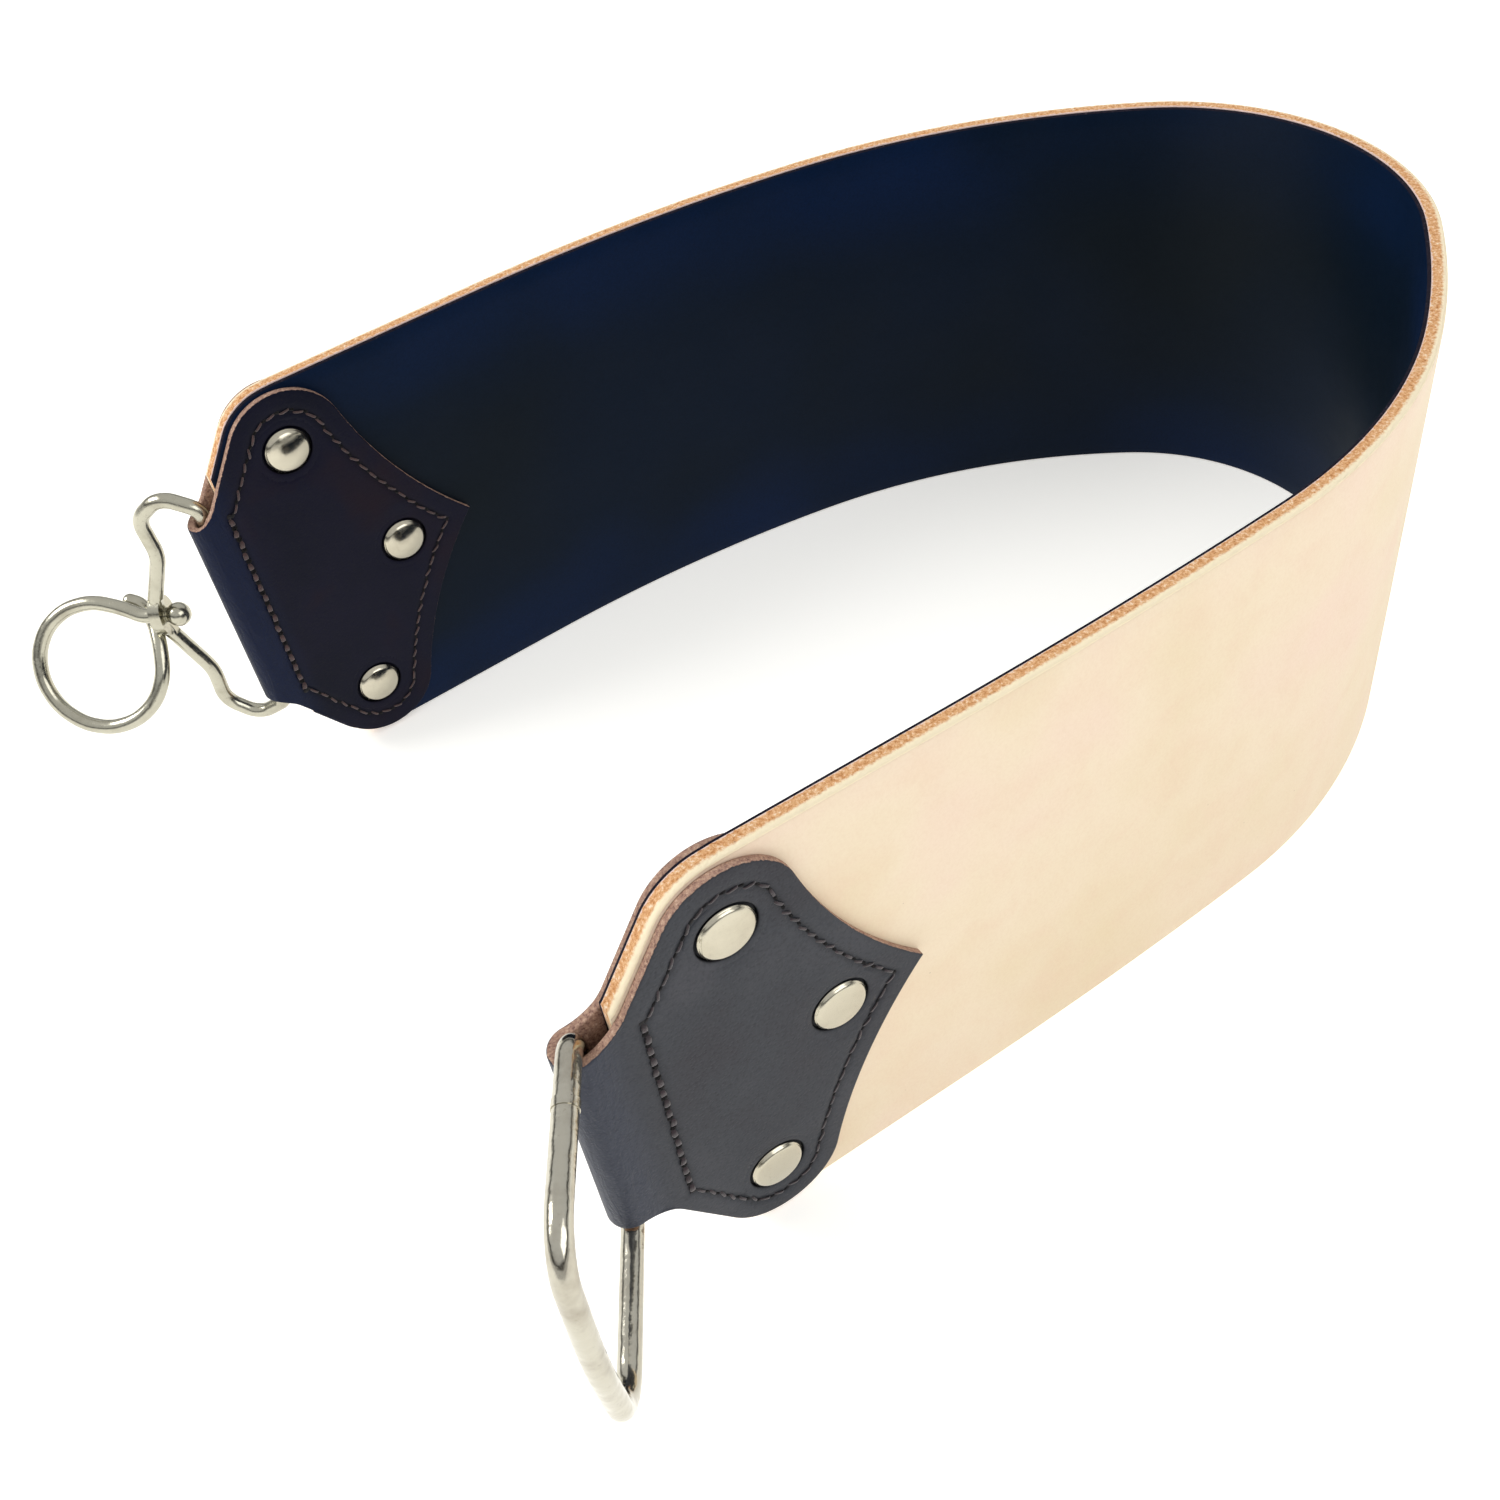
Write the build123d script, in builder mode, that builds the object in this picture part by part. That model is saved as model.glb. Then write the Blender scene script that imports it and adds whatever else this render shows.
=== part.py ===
from build123d import *

from math import atan2, ceil, cos, degrees, radians, sin, tan
import os

# Hanging leather strop with riveted end caps, a hand ring and a swivel hook, on its long edge.
#
# Units are millimetres.  +Z is up, and the origin is the centre of the strop's box on the surface
# that it stands on.  The strop runs from the hand ring's loop, round its bow, to the hook's loop.

# ---- Driving dimensions -------------------------------------------------------------------------
WIDTH = 75.0                     # strop width, which is its height as it stands
LEATHER_T = 2.4                  # natural leather, the pale outer working face
FACING_T = 0.6                   # dark polished facing on the inner side of the bow
FACING_MARGIN = 0.2              # the facing stops this short of the long edges
CAP_T = 1.35                     # cap leather, folded round the ring's bar

HAND_LOOP = (-23.17, -70.79)     # axis of the hand ring's bar in plan
HAND_HEADING = 27.4              # direction of the strop as it leaves the hand ring
LAY = [                          # (length, left turn in degrees) of each stretch between the loops
    (54.0, 0.0),
    (58.0, 3.6),
    (49.4, 33.1),
    (28.1, 10.5),
    (68.3, 93.0),
    (65.8, 30.0),
    (61.8, 12.6),
    (54.0, 0.0),
]

CAP_START = {"hand": 2.4, "hook": 6.8}   # a cap's x = 0 lies this far outside its loop's axis
TIP_X = 49.5                     # cap's point
OGEE_MID = (39.7, 13.4)          # hollow side of the cap's point
OGEE_END = (32.7, 29.9)
OGEE_END_DIR = 108.7             # direction of the outline there, in degrees
LOBE_R = 9.9                     # rounded shoulder round each outer rivet
LOBE_TURN = 127.3
FLANK = 12.0                     # straight run down from the shoulder to the neck
NECK_R = 8.0
EDGE_REVEAL = 0.8                # strop leather that shows beyond the cap
STROP_END = {"hand": 4.8, "hook": 3.4}   # from the loop's axis to the strop's square-cut end
LOOP_CLEARANCE = 0.3             # between the fold and the wire inside it

RIVETS = [(23.0, 26.2), (36.3, 0.0), (23.0, -26.2)]
POST_R = 1.6
POST_BORE_R = 1.0
STEM_GAP = 0.3                   # the inner rivet's stem stops this far under the outer head
HEAD_R = 4.1
HEAD_RISE = 0.95
CAP_R = 3.9
CAP_RISE = 1.35
RIM = 0.3                        # turned-in rim of either head

STITCH_PITCH = 2.45
STITCH_LENGTH = 2.0
STITCH_H = 0.35                  # thread that stands above the leather
SEAM_INSET = 3.5                 # seam along the cap's outline
SEAM_STITCH_W = 0.75
ROW_X = 10.2                     # heavier straight row that closes the loop
ROW_STITCH_W = 1.25

RING_WIRE_R = 1.6                # hand ring, a rounded rectangle with a slightly bowed outer bar
RING_HALF = 20.7
RING_CORNER = (27.4, 21.3)
RING_REACH = 29.3
RING_BEND_R = 2.8
RING_CORNER_R = 7.0
RING_BOW_R = 90.0
RING_DIR = 266.0                 # direction in which the hand ring lies
WELD_AT = 0.335                  # the ring's butt weld, as a share of its upper leg
WELD_RISE = 0.12
WELD_HALF = 0.6

YOKE_WIRE_R = 1.3                # hook yoke, bent like a coat hanger
YOKE_DIR = 172.0
YOKE_SHAPE = [(0.0, 21.6), (5.8, 24.6), (10.9, 20.5), (10.4, 13.0), (14.8, 3.0)]
YOKE_RADII = [2.6, 4.0, 4.5, 8.0, 5.0]
YOKE_REACH = 14.8
YOKE_FLAT = 1.0                  # half thickness of the hammered middle
YOKE_PAD = (2.9, 3.8)            # half width and half height of the hammered middle
YOKE_SET_BACK = 0.2              # the wire lies this much further in at the pad's ends

EYE_WIRE_R = 1.3                 # swivel eye
SHANK_R = 1.2
SHANK_CLEARANCE = 0.06
EYE_START = 1.2                  # the full wire starts this far outside the yoke's middle
SHANK_END = 3.4                  # the shank's straight run ends here
EYE_R = 10.9
EYE_CENTRE = (12.5, 8.1)         # from the yoke's middle: outwards, and to the side
EYE_ROLL = -58.0                 # rest angle of the eye about its shank
EYE_STEP = 26.0                  # degrees between the corners that the ring's bends round off
EYE_FIRST = -118.0               # where the ring's first corner lies
EYE_CORNERS = 12
EYE_CLOSE = [                    # the free end passes beside the shank and bends over the ring
    (1.75, 5.4, -1.0),
    (2.95, 1.3, -2.75),
    (4.9, -1.8, -2.75),
    (6.6, -2.4, -2.75),
]
BEND_SHARE = 0.45                # share of the shorter run that each bend may use
BALL_R = 2.1
BALL_X = -3.0

# ---- Values worked out from them ----------------------------------------------------------------
MID_Z = WIDTH / 2
BAND_T = LEATHER_T + FACING_T
OUTER = BAND_T / 2               # offset of the pale face from the strop's middle line
INNER = -OUTER
SEAM = INNER + FACING_T          # where the two layers meet
LOOP_R = {"hand": RING_WIRE_R + LOOP_CLEARANCE, "hook": YOKE_WIRE_R + LOOP_CLEARANCE}
CAP_OUT = OUTER + CAP_T          # offset of a cap's visible face
STEM_END = CAP_OUT - STEM_GAP

os.makedirs("parts", exist_ok=True)


def finish(builder, name):
    """Label one finished piece and write it."""
    builder.part.label = name
    export_step(builder.part, f"parts/{name}.step")
    print(f"{name}: {builder.part.volume:.1f} mm3, {len(builder.part.solids())} solid(s)")


def heading(angle):
    """Unit vector at an angle in degrees."""
    return Vector(cos(radians(angle)), sin(radians(angle)))


# ---- The strop's line in plan -------------------------------------------------------------------
def stations():
    """Start point and direction of every stretch, and of the far loop."""
    point = Vector(*HAND_LOOP)
    angle = HAND_HEADING
    found = [(point, angle)]
    for length, turn in LAY:
        half = radians(turn) / 2
        chord = length if turn == 0 else length * sin(half) / half
        point += heading(angle + turn / 2) * chord
        angle += turn
        found.append((point, angle))
    return found


STATIONS = stations()


def beside(station, offset, ahead=0.0):
    """Point to the right of a station by offset, and further along by ahead."""
    point, angle = station
    return point + heading(angle - 90) * offset + heading(angle) * ahead


def lane(offset):
    """Draw the strop's line at an offset to the right, trimmed at both square-cut ends."""
    last = len(LAY) - 1
    for i, (length, turn) in enumerate(LAY):
        start = beside(STATIONS[i], offset, STROP_END["hand"] if i == 0 else 0.0)
        if turn == 0:
            Line(start, beside(STATIONS[i + 1], offset, -STROP_END["hook"] if i == last else 0.0))
        else:
            radius = length / radians(turn) + offset
            JernArc(start=start, tangent=heading(STATIONS[i][1]), radius=radius, arc_size=turn)


def end_plane(station, inward):
    """Upright plane on a loop's axis: x runs into the strop, z out of its pale face."""
    point, angle = station
    origin = (point.X, point.Y, MID_Z)
    return Plane(origin=origin, x_dir=heading(angle) * inward, z_dir=heading(angle - 90))


ENDS = {"hand": end_plane(STATIONS[0], 1), "hook": end_plane(STATIONS[-1], -1)}
CAP_PLANES = {end: plane.shift_origin(plane.from_local_coords((-CAP_START[end], 0, 0)))
              for end, plane in ENDS.items()}
LOBE_CENTRE = Vector(*OGEE_END) - heading(OGEE_END_DIR - 90) * LOBE_R


def neck_line(reveal, x_end):
    """Draw the upper side from the shoulder's top down to the neck, reveal outside the cap's line."""
    fall = OGEE_END_DIR + LOBE_TURN - 180
    crown = LOBE_CENTRE + Vector(0, LOBE_R + reveal)
    shoulder = JernArc(start=crown, tangent=(-1, 0), radius=LOBE_R + reveal, arc_size=fall)
    flank = PolarLine(start=shoulder @ 1, length=FLANK, direction=heading(180 + fall))
    neck = JernArc(start=flank @ 1, tangent=flank % 1, radius=NECK_R - reveal, arc_size=-fall)
    edge = Line(neck @ 1, (x_end, (neck @ 1).Y))
    return crown, edge @ 1


def cut_rivet_holes(plane):
    """Pierce the part being built for the three rivet posts of one end."""
    with BuildSketch(plane) as holes:
        with Locations(*RIVETS):
            Circle(POST_R)
    extrude(holes.sketch, amount=2 * CAP_OUT, both=True, mode=Mode.SUBTRACT)


# ---- Strop layers -------------------------------------------------------------------------------
def strop_layer(name, right, left, margin):
    """One bent layer between two offsets, shaped at both ends and pierced for the rivets."""
    with BuildPart() as layer:
        with BuildSketch(Plane.XY.offset(margin)):
            with BuildLine():
                lane(right)
                lane(left)
                ends = ((STATIONS[0], STROP_END["hand"]), (STATIONS[-1], -STROP_END["hook"]))
                for station, ahead in ends:
                    Line(beside(station, right, ahead), beside(station, left, ahead))
            make_face()
        extrude(amount=WIDTH - 2 * margin)
        for plane in CAP_PLANES.values():
            with BuildSketch(plane):
                with BuildLine():
                    crown, neck_end = neck_line(EDGE_REVEAL, 0)
                    Polyline(crown, (crown.X, WIDTH), (0, WIDTH), neck_end)
                make_face()
                mirror(about=Plane.XZ)
            extrude(amount=2 * BAND_T, both=True, mode=Mode.SUBTRACT)
            cut_rivet_holes(plane)
    finish(layer, name)


strop_layer("strop_leather", OUTER, SEAM, 0.0)
strop_layer("strop_facing", SEAM, INNER, FACING_MARGIN)


# ---- Caps ---------------------------------------------------------------------------------------
def cap_outline():
    """Draw the upper half of a cap's panel, a bracket shape with its point into the strop."""
    ThreePointArc((TIP_X, 0), OGEE_MID, OGEE_END)
    JernArc(start=OGEE_END, tangent=heading(OGEE_END_DIR), radius=LOBE_R, arc_size=180 - OGEE_END_DIR)
    nose = neck_line(0.0, -2 * CAP_OUT)[1]
    Polyline(nose, (nose.X, 0), (TIP_X, 0))


def fold_section(loop_r, strop_end):
    """Draw the section of the fold: two panels and the round loop, seen from above."""
    grip_r = loop_r + CAP_T
    for side in (1, -1):
        skin, lining = side * CAP_OUT, side * OUTER
        Polyline((0, side * grip_r), (strop_end, skin), (TIP_X, skin), (TIP_X, lining),
                 (strop_end, lining), (0, side * loop_r))
    ThreePointArc((0, loop_r), (-loop_r, 0), (0, -loop_r))
    ThreePointArc((0, grip_r), (-grip_r, 0), (0, -grip_r))


def cap(end):
    """One cap: a single leather piece folded round the bar, with a panel on each face."""
    loop = ENDS[end]
    across = Plane(origin=loop.origin, x_dir=loop.x_dir, z_dir=-loop.y_dir)
    with BuildPart() as piece:
        with BuildSketch(across):
            with BuildLine():
                fold_section(LOOP_R[end], STROP_END[end])
            make_face()
        extrude(amount=MID_Z, both=True)
        with BuildSketch(CAP_PLANES[end]):
            with BuildLine():
                cap_outline()
            make_face()
            mirror(about=Plane.XZ)
        extrude(amount=MID_Z, both=True, mode=Mode.INTERSECT)
        cut_rivet_holes(CAP_PLANES[end])
    finish(piece, f"{end}_cap")


for end in ENDS:
    cap(end)


# ---- Rivets -------------------------------------------------------------------------------------
def rivet_section(plane, x, y):
    """Half-section plane of one rivet: x is the radius, y runs out of the pale face."""
    return Plane(origin=plane.from_local_coords((x, y, 0)), x_dir=plane.x_dir, z_dir=-plane.y_dir)


def crown_height(radius, rise, x):
    """Height above its rim, at distance x from the middle, of a spherical crown."""
    sphere_r = (radius**2 + rise**2) / (2 * rise)
    return rise - sphere_r + (sphere_r**2 - x**2) ** 0.5


def dome(radius, base, rise):
    """Draw a domed head's section from the underside of its rim to its top; rise is signed."""
    side = 1 if rise > 0 else -1
    rim = base + side * RIM
    middle = rim + side * crown_height(radius, abs(rise) - RIM, radius / 2)
    Line((radius - RIM, base), (radius, rim))
    ThreePointArc((radius, rim), (radius / 2, middle), (0, base + rise))


def rivet_post(name, section):
    """The hollow post with the outer head on it."""
    with BuildPart() as post:
        with BuildSketch(section):
            with BuildLine():
                Polyline((0, CAP_OUT + HEAD_RISE), (0, CAP_OUT), (POST_BORE_R, CAP_OUT),
                         (POST_BORE_R, -CAP_OUT), (POST_R, -CAP_OUT), (POST_R, CAP_OUT),
                         (HEAD_R - RIM, CAP_OUT))
                dome(HEAD_R, CAP_OUT, HEAD_RISE)
            make_face()
        revolve(axis=Axis(section.origin, section.y_dir))
    finish(post, name)


def rivet_cap(name, section):
    """The inner head, whose stem is set into the post."""
    with BuildPart() as head:
        with BuildSketch(section):
            with BuildLine():
                Polyline((0, -CAP_OUT - CAP_RISE), (0, STEM_END), (POST_BORE_R, STEM_END),
                         (POST_BORE_R, -CAP_OUT), (CAP_R - RIM, -CAP_OUT))
                dome(CAP_R, -CAP_OUT, -CAP_RISE)
            make_face()
        revolve(axis=Axis(section.origin, section.y_dir))
    finish(head, name)


for end, plane in CAP_PLANES.items():
    for number, (x, y) in enumerate(RIVETS, start=1):
        rivet_post(f"{end}_rivet_post_{number}", rivet_section(plane, x, y))
        rivet_cap(f"{end}_rivet_cap_{number}", rivet_section(plane, x, y))


# ---- Stitching ----------------------------------------------------------------------------------
def seam_line():
    """Upper half of the seam, parallel to the cap's outline from its point to the straight row."""
    ogee = Edge.make_three_point_arc((TIP_X, 0), OGEE_MID, OGEE_END)
    centre = ogee.arc_center
    seam_r = ogee.radius + SEAM_INSET
    with BuildLine() as seam:
        tip = (centre.X - (seam_r**2 - centre.Y**2) ** 0.5, 0)
        middle = centre + (Vector(*OGEE_MID) - centre).normalized() * seam_r
        end = centre + (Vector(*OGEE_END) - centre).normalized() * seam_r
        ThreePointArc(tip, middle, end)
        lobe = JernArc(start=end, tangent=heading(OGEE_END_DIR), radius=LOBE_R - SEAM_INSET,
                       arc_size=LOBE_TURN)
        fall = heading(OGEE_END_DIR + LOBE_TURN)
        reach = (lobe @ 1).X - ROW_X - ROW_STITCH_W / 2
        PolarLine(start=lobe @ 1, length=reach / -fall.X, direction=fall)
    return seam.wire()


def stitch_places(seam):
    """Where the seam's stitches lie on the upper half, with their directions in degrees."""
    count = ceil(seam.length / STITCH_PITCH)
    places = []
    for i in range(count):
        share = (i + 0.5) / count
        spot = seam.position_at(share)
        run = seam.tangent_at(share)
        places.append((spot.X, spot.Y, degrees(atan2(run.Y, run.X))))
    return places


SEAM_LINE = seam_line()
SEAM_PLACES = stitch_places(SEAM_LINE)
ROW_LENGTH = 2 * (SEAM_LINE @ 1).Y
ROW_COUNT = ceil(ROW_LENGTH / STITCH_PITCH)


def stitching(name, plane):
    """The thread on one face of a cap, as the short lengths that lie on the leather."""
    with BuildPart() as thread:
        with BuildSketch(plane):
            for x, y, turn in SEAM_PLACES:
                with Locations(Location((x, y, 0), (0, 0, turn)), Location((x, -y, 0), (0, 0, -turn))):
                    SlotOverall(STITCH_LENGTH, SEAM_STITCH_W)
            with Locations((ROW_X, 0)):
                with GridLocations(0, ROW_LENGTH / ROW_COUNT, 1, ROW_COUNT):
                    SlotOverall(STITCH_LENGTH, ROW_STITCH_W, rotation=90)
        extrude(amount=STITCH_H)
    finish(thread, name)


for end, plane in CAP_PLANES.items():
    inner_face = Plane(origin=plane.origin, x_dir=plane.x_dir, z_dir=-plane.z_dir)
    stitching(f"{end}_outer_stitching", plane.offset(CAP_OUT))
    stitching(f"{end}_inner_stitching", inner_face.offset(CAP_OUT))


# ---- Wire parts ---------------------------------------------------------------------------------
def swing_plane(station, direction):
    """Upright plane on a loop's axis: x points away from the loop, y is up."""
    point = station[0]
    return Plane(origin=(point.X, point.Y, MID_Z), x_dir=heading(direction), z_dir=heading(direction - 90))


def bent_wire(path, radius):
    """Sweep round wire along a path, into the part being built."""
    with BuildSketch(Plane(origin=path @ 0, z_dir=path % 0)) as section:
        Circle(radius)
    sweep(section.sketch, path=path)


RING_PLANE = swing_plane(STATIONS[0], RING_DIR)
RING_PATH = [
    (0, -RING_HALF),
    (0, RING_HALF),
    RING_CORNER,
    (RING_REACH, 0),
    (RING_CORNER[0], -RING_CORNER[1]),
]
RING_RADII = [RING_BEND_R, RING_BEND_R, RING_CORNER_R, RING_BOW_R, RING_CORNER_R]

with BuildPart() as hand_ring:
    with BuildLine(RING_PLANE):
        ring_path = FilletPolyline(*RING_PATH, radius=RING_RADII, close=True)
    bent_wire(ring_path, RING_WIRE_R)
    weld = (WELD_AT * RING_CORNER[0], RING_HALF + WELD_AT * (RING_CORNER[1] - RING_HALF), 0)
    with BuildSketch(Plane(origin=RING_PLANE.from_local_coords(weld), z_dir=RING_PLANE.x_dir)):
        Circle(RING_WIRE_R + WELD_RISE)
    extrude(amount=WELD_HALF, both=True)
finish(hand_ring, "hand_ring")

YOKE_PLANE = swing_plane(STATIONS[-1], YOKE_DIR)
YOKE_MIDDLE = YOKE_PLANE.from_local_coords((YOKE_REACH, 0, 0))
PAD_PLANE = Plane(origin=YOKE_MIDDLE, x_dir=YOKE_PLANE.z_dir, z_dir=YOKE_PLANE.x_dir)


def hammered_side(side):
    """Draw what the hammer takes off one side of the yoke's middle, as a shallow hollow."""
    pad_end = YOKE_PAD[1]
    rim = YOKE_REACH - YOKE_SET_BACK + side * YOKE_WIRE_R
    beyond = rim + side * YOKE_WIRE_R
    ThreePointArc((rim, -pad_end), (YOKE_REACH + side * YOKE_FLAT, 0), (rim, pad_end))
    Polyline((rim, pad_end), (beyond, pad_end), (beyond, -pad_end), (rim, -pad_end))


with BuildPart() as hook_yoke:
    with BuildLine(YOKE_PLANE):
        lower = [(x, -y) for x, y in reversed(YOKE_SHAPE)]
        rounds = YOKE_RADII + YOKE_RADII[::-1]
        yoke_path = FilletPolyline(*YOKE_SHAPE, *lower, radius=rounds, close=True)
    bent_wire(yoke_path, YOKE_WIRE_R)
    with BuildSketch(YOKE_PLANE):
        for side in (-1, 1):
            with BuildLine():
                hammered_side(side)
            make_face()
    extrude(amount=2 * YOKE_WIRE_R, both=True, mode=Mode.SUBTRACT)
    with BuildSketch(PAD_PLANE):
        Ellipse(*YOKE_PAD)
    extrude(amount=YOKE_FLAT, both=True)
    with BuildSketch(PAD_PLANE):
        Circle(SHANK_R + SHANK_CLEARANCE)
    extrude(amount=2 * YOKE_WIRE_R, both=True, mode=Mode.SUBTRACT)
finish(hook_yoke, "hook_yoke")


def eye_plane():
    """Plane of the swivel eye: x along its shank, y towards the middle of its ring."""
    roll = radians(EYE_ROLL)
    side = YOKE_PLANE.y_dir * sin(roll) - YOKE_PLANE.z_dir * cos(roll)
    return Plane(origin=YOKE_MIDDLE, x_dir=YOKE_PLANE.x_dir, z_dir=YOKE_PLANE.x_dir.cross(side))


def eye_corners():
    """Corners that the eye's wire rounds off: from the shank, round the ring, to its free end."""
    corners = [Vector(EYE_START, 0, 0), Vector(SHANK_END, 0, 0)]
    for i in range(EYE_CORNERS):
        outward = heading(EYE_FIRST + i * EYE_STEP)
        corners.append(Vector(*EYE_CENTRE) + outward * (EYE_R / cos(radians(EYE_STEP / 2))))
    return corners + [Vector(*point) for point in EYE_CLOSE]


def bend_radii(corners):
    """The largest bend at each corner that uses at most its share of the shorter run beside it."""
    radii = []
    for before, corner, after in zip(corners, corners[1:], corners[2:]):
        run_in = corner - before
        run_out = after - corner
        half_turn = radians(run_in.get_angle(run_out)) / 2
        radii.append(BEND_SHARE * min(run_in.length, run_out.length) / tan(half_turn))
    return radii


EYE_PLANE = eye_plane()
EYE_POINTS = eye_corners()
BALL_CENTRE = EYE_PLANE.from_local_coords((BALL_X, 0, 0))

with BuildPart() as swivel_eye:
    with BuildLine(EYE_PLANE):
        eye_path = FilletPolyline(*map(tuple, EYE_POINTS), radius=bend_radii(EYE_POINTS))
    bent_wire(eye_path, EYE_WIRE_R)
    with Locations(eye_path @ 1):
        Sphere(EYE_WIRE_R)
    with BuildSketch(Plane(origin=BALL_CENTRE, z_dir=EYE_PLANE.x_dir)):
        Circle(SHANK_R)
    extrude(amount=EYE_START - BALL_X)
    with Locations(BALL_CENTRE):
        Sphere(BALL_R)
finish(swivel_eye, "swivel_eye")
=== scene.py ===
import math
import random

import bmesh
import bpy
import numpy as np
from mathutils import Matrix, Vector


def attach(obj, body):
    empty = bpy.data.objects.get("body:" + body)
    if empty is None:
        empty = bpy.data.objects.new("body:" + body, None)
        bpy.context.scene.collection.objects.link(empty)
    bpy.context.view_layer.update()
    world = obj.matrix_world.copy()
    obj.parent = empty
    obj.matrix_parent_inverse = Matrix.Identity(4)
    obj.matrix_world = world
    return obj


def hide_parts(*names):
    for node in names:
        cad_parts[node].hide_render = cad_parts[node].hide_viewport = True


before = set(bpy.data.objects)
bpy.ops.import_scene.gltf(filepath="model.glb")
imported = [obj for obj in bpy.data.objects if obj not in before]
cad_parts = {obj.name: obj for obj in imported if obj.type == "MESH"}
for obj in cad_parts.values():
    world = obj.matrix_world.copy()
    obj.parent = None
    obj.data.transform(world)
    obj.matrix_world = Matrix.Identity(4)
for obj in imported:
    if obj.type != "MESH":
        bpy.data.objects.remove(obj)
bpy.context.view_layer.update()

# Looks of the hanging leather strop.  Lengths are in millimetres until a mesh is made, angles in degrees.
MM = 0.001
STROP = "strop"
ENDS = ("hand", "hook")

# ---- The strop's line and sizes, as in the CAD part -------------------------------------------
WIDTH = 75.0
MID_Z = WIDTH / 2
OUTER = 1.5                      # pale face, from the strop's middle line
SEAM = -0.9                      # where the pale leather meets the dark facing
INNER = -1.5                     # dark face
FACING_MARGIN = 0.2              # the facing stops this far short of the long edges
HAND_LOOP = (-23.17, -70.79)     # axis of the hand ring's loop, in plan
HAND_HEADING = 27.4              # the strop's direction there
LAY = [                          # length and turn of each stretch, from the hand ring to the hook
    (54.0, 0.0), (58.0, 3.6), (49.4, 33.1), (28.1, 10.5),
    (68.3, 93.0), (65.8, 30.0), (61.8, 12.6), (54.0, 0.0),
]
LENGTH = sum(length for length, turn in LAY)

CAP_T = 1.35                               # cap leather
CAP_OUT = OUTER + CAP_T                    # a cap's skin, from the strop's middle line
CAP_START = {"hand": 2.4, "hook": 6.8}     # a cap's x = 0 lies this far outside its loop's axis
STROP_END = {"hand": 4.8, "hook": 3.4}     # from a loop's axis to the strop's cut end
LOOP_R = {"hand": 1.9, "hook": 1.6}        # inside of the fold

# A cap's outline and what is on it, as (x, y): x into the strop, y up from its mid-height.
TIP_X = 49.5
OGEE_MID = (39.7, 13.4)
OGEE_END = (32.7, 29.9)
OGEE_END_DIR = 108.7
LOBE_R = 9.9
LOBE_TURN = 127.3
FLANK = 12.0
NECK_R = 8.0
EDGE_REVEAL = 0.8                # the strop stands this far proud of its caps
RIVETS = [(23.0, 26.2), (36.3, 0.0), (23.0, -26.2)]
HEAD_R = 4.1                     # outer, flat heads
CAP_R = 3.9                      # inner, domed heads
SEAM_INSET = 3.5                 # the stitched seam, from the outline
STITCH_PITCH = 2.45
ROW_X = 10.2                     # the straight row of stitches beside the fold
ROW_STITCH_W = 1.25


def unit(angle):
    """Unit vector at an angle."""
    return np.array([math.cos(math.radians(angle)), math.sin(math.radians(angle))])


def chord(length, turn):
    """Chord of an arc of a length that turns through an angle."""
    half = math.radians(turn) / 2
    return length * math.sin(half) / half if half else length


def stations():
    """Start point and direction of every stretch of the strop, and of the hook's loop."""
    point = np.array(HAND_LOOP)
    angle = HAND_HEADING
    found = [(point, angle)]
    for length, turn in LAY:
        point = point + unit(angle + turn / 2) * chord(length, turn)
        angle += turn
        found.append((point, angle))
    return found


STATIONS = stations()


def on_strop(s, offset, z):
    """Point at a length along the strop, an offset to its pale side, and a height."""
    for (length, turn), (point, angle) in zip(LAY, STATIONS):
        if s <= length:
            break
        s -= length
    here = angle + turn * s / length
    plan = point + unit((angle + here) / 2) * chord(s, here - angle) + unit(here - 90) * offset
    return (plan[0], plan[1], z)


def at_end(end, x, y, out):
    """Points by an end loop's axis: x into the strop, y up from mid-height, out to the pale side."""
    point, angle = STATIONS[0] if end == "hand" else STATIONS[-1]
    inward = 1 if end == "hand" else -1
    x, y, out = np.broadcast_arrays(x, y, out)
    plan = point + x[..., None] * unit(angle) * inward + out[..., None] * unit(angle - 90)
    return np.concatenate([plan, MID_Z + y[..., None]], axis=-1)


# ---- Outline of the end caps ------------------------------------------------------------------
LOBE_CENTRE = np.array(OGEE_END) - unit(OGEE_END_DIR - 90) * LOBE_R
FLANK_DIR = OGEE_END_DIR - 90 + LOBE_TURN     # direction of the flank's outward normal


def circle_through(a, b, c):
    """Centre and radius of the circle through three points."""
    rows = np.array([[b[0] - a[0], b[1] - a[1]], [c[0] - a[0], c[1] - a[1]]])
    right = 0.5 * np.array([np.dot(b, b) - np.dot(a, a), np.dot(c, c) - np.dot(a, a)])
    centre = np.linalg.solve(rows, right)
    return centre, float(np.hypot(*(centre - a)))


def arc_rows(centre, radius, start, stop, step, sign=1):
    """Rows (x, y, nx, ny) along an arc whose outward normal turns from start to stop."""
    count = max(2, math.ceil(abs(math.radians(stop - start)) * radius / step) + 1)
    rows = []
    for angle in np.linspace(start, stop, count):
        normal = unit(angle)
        rows.append((*(centre + sign * radius * normal), *normal))
    return rows


def ogee_rows(inset, step):
    """The hollow side from the point to the shoulder, moved in by inset."""
    tip, middle, end = np.array([TIP_X, 0.0]), np.array(OGEE_MID), np.array(OGEE_END)
    centre, radius = circle_through(tip, middle, end)
    first = math.degrees(math.asin(centre[1] / (radius + inset)))
    last = math.degrees(math.atan2(*(centre - end)[::-1]))
    return arc_rows(centre, radius + inset, first, last, step, -1)


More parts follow.
